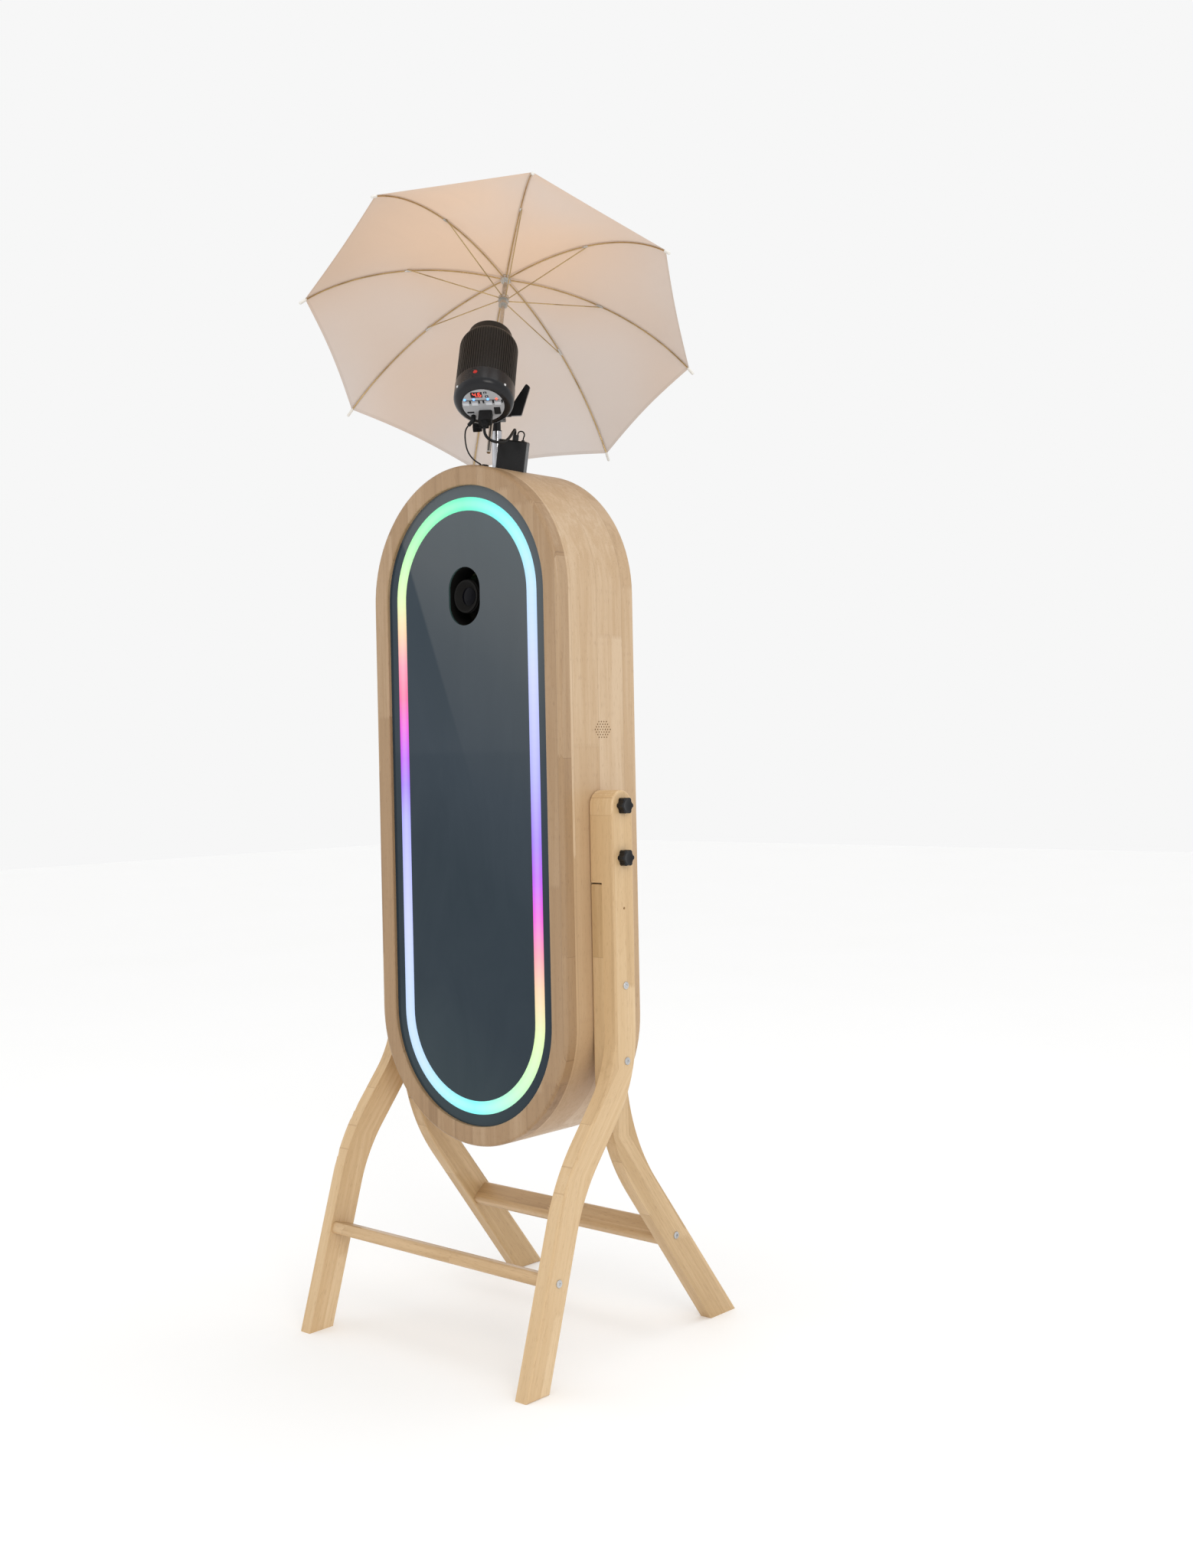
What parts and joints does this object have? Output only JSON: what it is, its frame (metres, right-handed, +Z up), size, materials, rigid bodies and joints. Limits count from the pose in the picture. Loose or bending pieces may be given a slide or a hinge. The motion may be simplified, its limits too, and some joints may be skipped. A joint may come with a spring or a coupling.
{
  "type": "photo booth",
  "caption": "Oval wooden mirror photo booth with a colour light ring, tilting between split-leg stands, with a strobe and shoot-through umbrella on a short pole.",
  "frame": {"origin": "on the floor under the cabinet's centre", "axes": "+Z up, -Y out of the mirror towards the sitter, +X to the right seen from the front"},
  "size_m": [0.7421, 0.6825, 2.1735],
  "materials": {
    "wood": "satin lacquered light hardwood, finger-jointed staves",
    "mirror": "polished half-silvered glass",
    "diffuser": "opal diffuser, lit",
    "black_plastic": "fine matt",
    "dark_housing": "satin, finned",
    "silver_panel": "satin silver print",
    "chrome": "polished",
    "steel": "satin",
    "gilt_steel": "satin",
    "nylon": "thin translucent white cloth",
    "glass": "frosted",
    "rubber": "cable sheath",
    "silver_key": "satin",
    "board": "painted fibreboard"
  },
  "bodies": {
    "stand": {"front_leg_right": "wood", "front_leg_left": "wood", "rear_leg_right": "wood", "rear_leg_left": "wood", "front_rail": "wood", "rear_rail": "wood", "stand_bolts": "steel"},
    "cabinet": {"front_frame": "wood", "wall_arches": "wood", "side_walls": "wood", "back_panel": "board", "mirror_glass": "mirror", "led_ring": "diffuser", "touch_display": "black_plastic", "camera_shroud": "black_plastic", "camera": "black_plastic", "computer": "black_plastic", "speakers": "black_plastic", "power_inlet": "black_plastic", "light_pole": "chrome", "receiver": "black_plastic", "power_lead": "rubber", "sync_lead": "rubber", "loop_lead": "rubber"},
    "knob_upper_right": {"knob_upper_right": "black_plastic"},
    "knob_upper_left": {"knob_upper_left": "black_plastic"},
    "knob_lower_right": {"knob_lower_right": "black_plastic"},
    "knob_lower_left": {"knob_lower_left": "black_plastic"},
    "bracket": {"bracket": "black_plastic"},
    "clamp_knob": {"clamp_knob": "black_plastic"},
    "tilt_lever": {"tilt_lever": "black_plastic"},
    "strobe": {"strobe_housing": "dark_housing", "strobe_end_cap": "black_plastic", "control_panel": "silver_panel", "flash_tube": "glass", "strobe_plugs": "black_plastic"},
    "rocker": {"rocker_switch": "black_plastic"},
    "key_1": {"key_1": "silver_key"},
    "key_2": {"key_2": "silver_key"},
    "key_3": {"key_3": "silver_key"},
    "key_4": {"key_4": "silver_key"},
    "umbrella": {"umbrella_shaft": "gilt_steel", "canopy": "nylon"},
    "runner": {"runner": "black_plastic"},
    "rib_1": {"rib_1": "gilt_steel"},
    "strut_1": {"strut_1": "gilt_steel"},
    "rib_2": {"rib_2": "gilt_steel"},
    "strut_2": {"strut_2": "gilt_steel"},
    "rib_3": {"rib_3": "gilt_steel"},
    "strut_3": {"strut_3": "gilt_steel"},
    "rib_4": {"rib_4": "gilt_steel"},
    "strut_4": {"strut_4": "gilt_steel"},
    "rib_5": {"rib_5": "gilt_steel"},
    "strut_5": {"strut_5": "gilt_steel"},
    "rib_6": {"rib_6": "gilt_steel"},
    "strut_6": {"strut_6": "gilt_steel"},
    "rib_7": {"rib_7": "gilt_steel"},
    "strut_7": {"strut_7": "gilt_steel"},
    "rib_8": {"rib_8": "gilt_steel"},
    "strut_8": {"strut_8": "gilt_steel"}
  },
  "joints": [
    {"name": "cabinet_tilt", "type": "hinge", "parent": "stand", "child": "cabinet", "pos_m": [0, -0.0045, 1.014], "axis": [1, 0, 0], "range_deg": [-5, 5]},
    {"name": "knob_upper_right_spin", "type": "hinge", "parent": "cabinet", "child": "knob_upper_right", "pos_m": [0.31, -0.0045, 1.014], "axis": [1, 0, 0], "continuous": true},
    {"name": "knob_upper_left_spin", "type": "hinge", "parent": "cabinet", "child": "knob_upper_left", "pos_m": [-0.31, -0.0045, 1.014], "axis": [-1, 0, 0], "continuous": true},
    {"name": "knob_lower_right_spin", "type": "hinge", "parent": "cabinet", "child": "knob_lower_right", "pos_m": [0.31, -0.0045, 0.919], "axis": [1, 0, 0], "continuous": true},
    {"name": "knob_lower_left_spin", "type": "hinge", "parent": "cabinet", "child": "knob_lower_left", "pos_m": [-0.31, -0.0045, 0.919], "axis": [-1, 0, 0], "continuous": true},
    {"name": "bracket_swivel", "type": "hinge", "parent": "cabinet", "child": "bracket", "pos_m": [0, 0, 1.75], "axis": [0, 0, 1], "range_deg": [-40, 25], "deforming": ["power_lead", "sync_lead"]},
    {"name": "strobe_tilt", "type": "hinge", "parent": "bracket", "child": "strobe", "pos_m": [0, 0, 1.774], "axis": [0.807, 0.5906, 0], "range_deg": [-3, 8]},
    {"name": "tilt_lever_turn", "type": "hinge", "parent": "bracket", "child": "tilt_lever", "pos_m": [0, 0, 1.774], "axis": [0.807, 0.5906, 0], "range_deg": [-90, 0]},
    {"name": "clamp_knob_spin", "type": "hinge", "parent": "bracket", "child": "clamp_knob", "pos_m": [-0.02824, -0.02067, 1.746], "axis": [-0.807, -0.5906, 0], "continuous": true},
    {"name": "umbrella_slide", "type": "slide", "parent": "strobe", "child": "umbrella", "axis": [-0.3371, 0.4605, 0.8211], "range_m": [0, 0.05]},
    {"name": "runner_slide", "type": "slide", "parent": "umbrella", "child": "runner", "axis": [0.3371, -0.4605, -0.8211], "range_m": [0, 0.0963], "deforming": ["canopy"]},
    {"name": "rib_1_hinge", "type": "hinge", "parent": "umbrella", "child": "rib_1", "pos_m": [-0.09045, 0.1292, 2.08162], "axis": [0.6372, 0.7537, -0.1611], "range_deg": [-1, 17]},
    {"name": "strut_1_hinge", "type": "hinge", "parent": "runner", "child": "strut_1", "pos_m": [-0.06833, 0.1037, 2.03242], "axis": [0.6372, 0.7537, -0.1611], "range_deg": [-16.1, 1]},
    {"name": "rib_2_hinge", "type": "hinge", "parent": "umbrella", "child": "rib_2", "pos_m": [-0.08754, 0.13708, 2.0784], "axis": [-0.0395, 0.8645, -0.5011], "range_deg": [-1, 17]},
    {"name": "strut_2_hinge", "type": "hinge", "parent": "runner", "child": "strut_2", "pos_m": [-0.06723, 0.11212, 2.02815], "axis": [-0.0395, 0.8645, -0.5011], "range_deg": [-16.1, 1]},
    {"name": "rib_3_hinge", "type": "hinge", "parent": "umbrella", "child": "rib_3", "pos_m": [-0.09111, 0.14356, 2.07329], "axis": [-0.6931, 0.4689, -0.5475], "range_deg": [-1, 17]},
    {"name": "strut_3_hinge", "type": "hinge", "parent": "runner", "child": "strut_3", "pos_m": [-0.07273, 0.11769, 2.02276], "axis": [-0.6931, 0.4689, -0.5475], "range_deg": [-16.1, 1]},
    {"name": "rib_4_hinge", "type": "hinge", "parent": "umbrella", "child": "rib_4", "pos_m": [-0.09906, 0.14487, 2.0693], "axis": [-0.9407, -0.2013, -0.2732], "range_deg": [-1, 17]},
    {"name": "strut_4_hinge", "type": "hinge", "parent": "runner", "child": "strut_4", "pos_m": [-0.08161, 0.11716, 2.01942], "axis": [-0.9407, -0.2013, -0.2732], "range_deg": [-16.1, 1]},
    {"name": "rib_5_hinge", "type": "hinge", "parent": "umbrella", "child": "rib_5", "pos_m": [-0.10674, 0.14022, 2.06875], "axis": [-0.6372, -0.7537, 0.1611], "range_deg": [-1, 17]},
    {"name": "strut_5_hinge", "type": "hinge", "parent": "runner", "child": "strut_5", "pos_m": [-0.08867, 0.11082, 2.02007], "axis": [-0.6372, -0.7537, 0.1611], "range_deg": [-16.1, 1]},
    {"name": "rib_6_hinge", "type": "hinge", "parent": "umbrella", "child": "rib_6", "pos_m": [-0.10965, 0.13234, 2.07198], "axis": [0.0395, -0.8645, 0.5011], "range_deg": [-1, 17]},
    {"name": "strut_6_hinge", "type": "hinge", "parent": "runner", "child": "strut_6", "pos_m": [-0.08977, 0.1024, 2.02434], "axis": [0.0395, -0.8645, 0.5011], "range_deg": [-16.1, 1]},
    {"name": "rib_7_hinge", "type": "hinge", "parent": "umbrella", "child": "rib_7", "pos_m": [-0.10608, 0.12585, 2.07708], "axis": [0.6931, -0.4689, 0.5475], "range_deg": [-1, 17]},
    {"name": "strut_7_hinge", "type": "hinge", "parent": "runner", "child": "strut_7", "pos_m": [-0.08427, 0.09683, 2.02973], "axis": [0.6931, -0.4689, 0.5475], "range_deg": [-16.1, 1]},
    {"name": "rib_8_hinge", "type": "hinge", "parent": "umbrella", "child": "rib_8", "pos_m": [-0.09813, 0.12455, 2.08107], "axis": [0.9407, 0.2013, 0.2732], "range_deg": [-1, 17]},
    {"name": "strut_8_hinge", "type": "hinge", "parent": "runner", "child": "strut_8", "pos_m": [-0.07539, 0.09736, 2.03307], "axis": [0.9407, 0.2013, 0.2732], "range_deg": [-16.1, 1]},
    {"name": "rocker_tip", "type": "hinge", "parent": "strobe", "child": "rocker", "pos_m": [0.0988, -0.09673, 1.75018], "axis": [0.807, 0.5906, 0], "range_deg": [0, 12]},
    {"name": "key_1_press", "type": "slide", "parent": "strobe", "child": "key_1", "axis": [-0.3371, 0.4605, 0.8211], "range_m": [0, 0.001], "stiffness_N_per_m": 300, "springref_m": -0.001},
    {"name": "key_2_press", "type": "slide", "parent": "strobe", "child": "key_2", "axis": [-0.3371, 0.4605, 0.8211], "range_m": [0, 0.001], "stiffness_N_per_m": 300, "springref_m": -0.001},
    {"name": "key_3_press", "type": "slide", "parent": "strobe", "child": "key_3", "axis": [-0.3371, 0.4605, 0.8211], "range_m": [0, 0.001], "stiffness_N_per_m": 300, "springref_m": -0.001},
    {"name": "key_4_press", "type": "slide", "parent": "strobe", "child": "key_4", "axis": [-0.3371, 0.4605, 0.8211], "range_m": [0, 0.001], "stiffness_N_per_m": 300, "springref_m": -0.001}
  ],
  "couplings": [
    {"joint": "rib_1_hinge", "follows": "runner_slide", "rad_per_m": 2.8967},
    {"joint": "strut_1_hinge", "follows": "runner_slide", "rad_per_m": -2.7273},
    {"joint": "rib_2_hinge", "follows": "runner_slide", "rad_per_m": 2.8967},
    {"joint": "strut_2_hinge", "follows": "runner_slide", "rad_per_m": -2.7273},
    {"joint": "rib_3_hinge", "follows": "runner_slide", "rad_per_m": 2.8967},
    {"joint": "strut_3_hinge", "follows": "runner_slide", "rad_per_m": -2.7273},
    {"joint": "rib_4_hinge", "follows": "runner_slide", "rad_per_m": 2.8967},
    {"joint": "strut_4_hinge", "follows": "runner_slide", "rad_per_m": -2.7273},
    {"joint": "rib_5_hinge", "follows": "runner_slide", "rad_per_m": 2.8967},
    {"joint": "strut_5_hinge", "follows": "runner_slide", "rad_per_m": -2.7273},
    {"joint": "rib_6_hinge", "follows": "runner_slide", "rad_per_m": 2.8967},
    {"joint": "strut_6_hinge", "follows": "runner_slide", "rad_per_m": -2.7273},
    {"joint": "rib_7_hinge", "follows": "runner_slide", "rad_per_m": 2.8967},
    {"joint": "strut_7_hinge", "follows": "runner_slide", "rad_per_m": -2.7273},
    {"joint": "rib_8_hinge", "follows": "runner_slide", "rad_per_m": 2.8967},
    {"joint": "strut_8_hinge", "follows": "runner_slide", "rad_per_m": -2.7273}
  ]
}
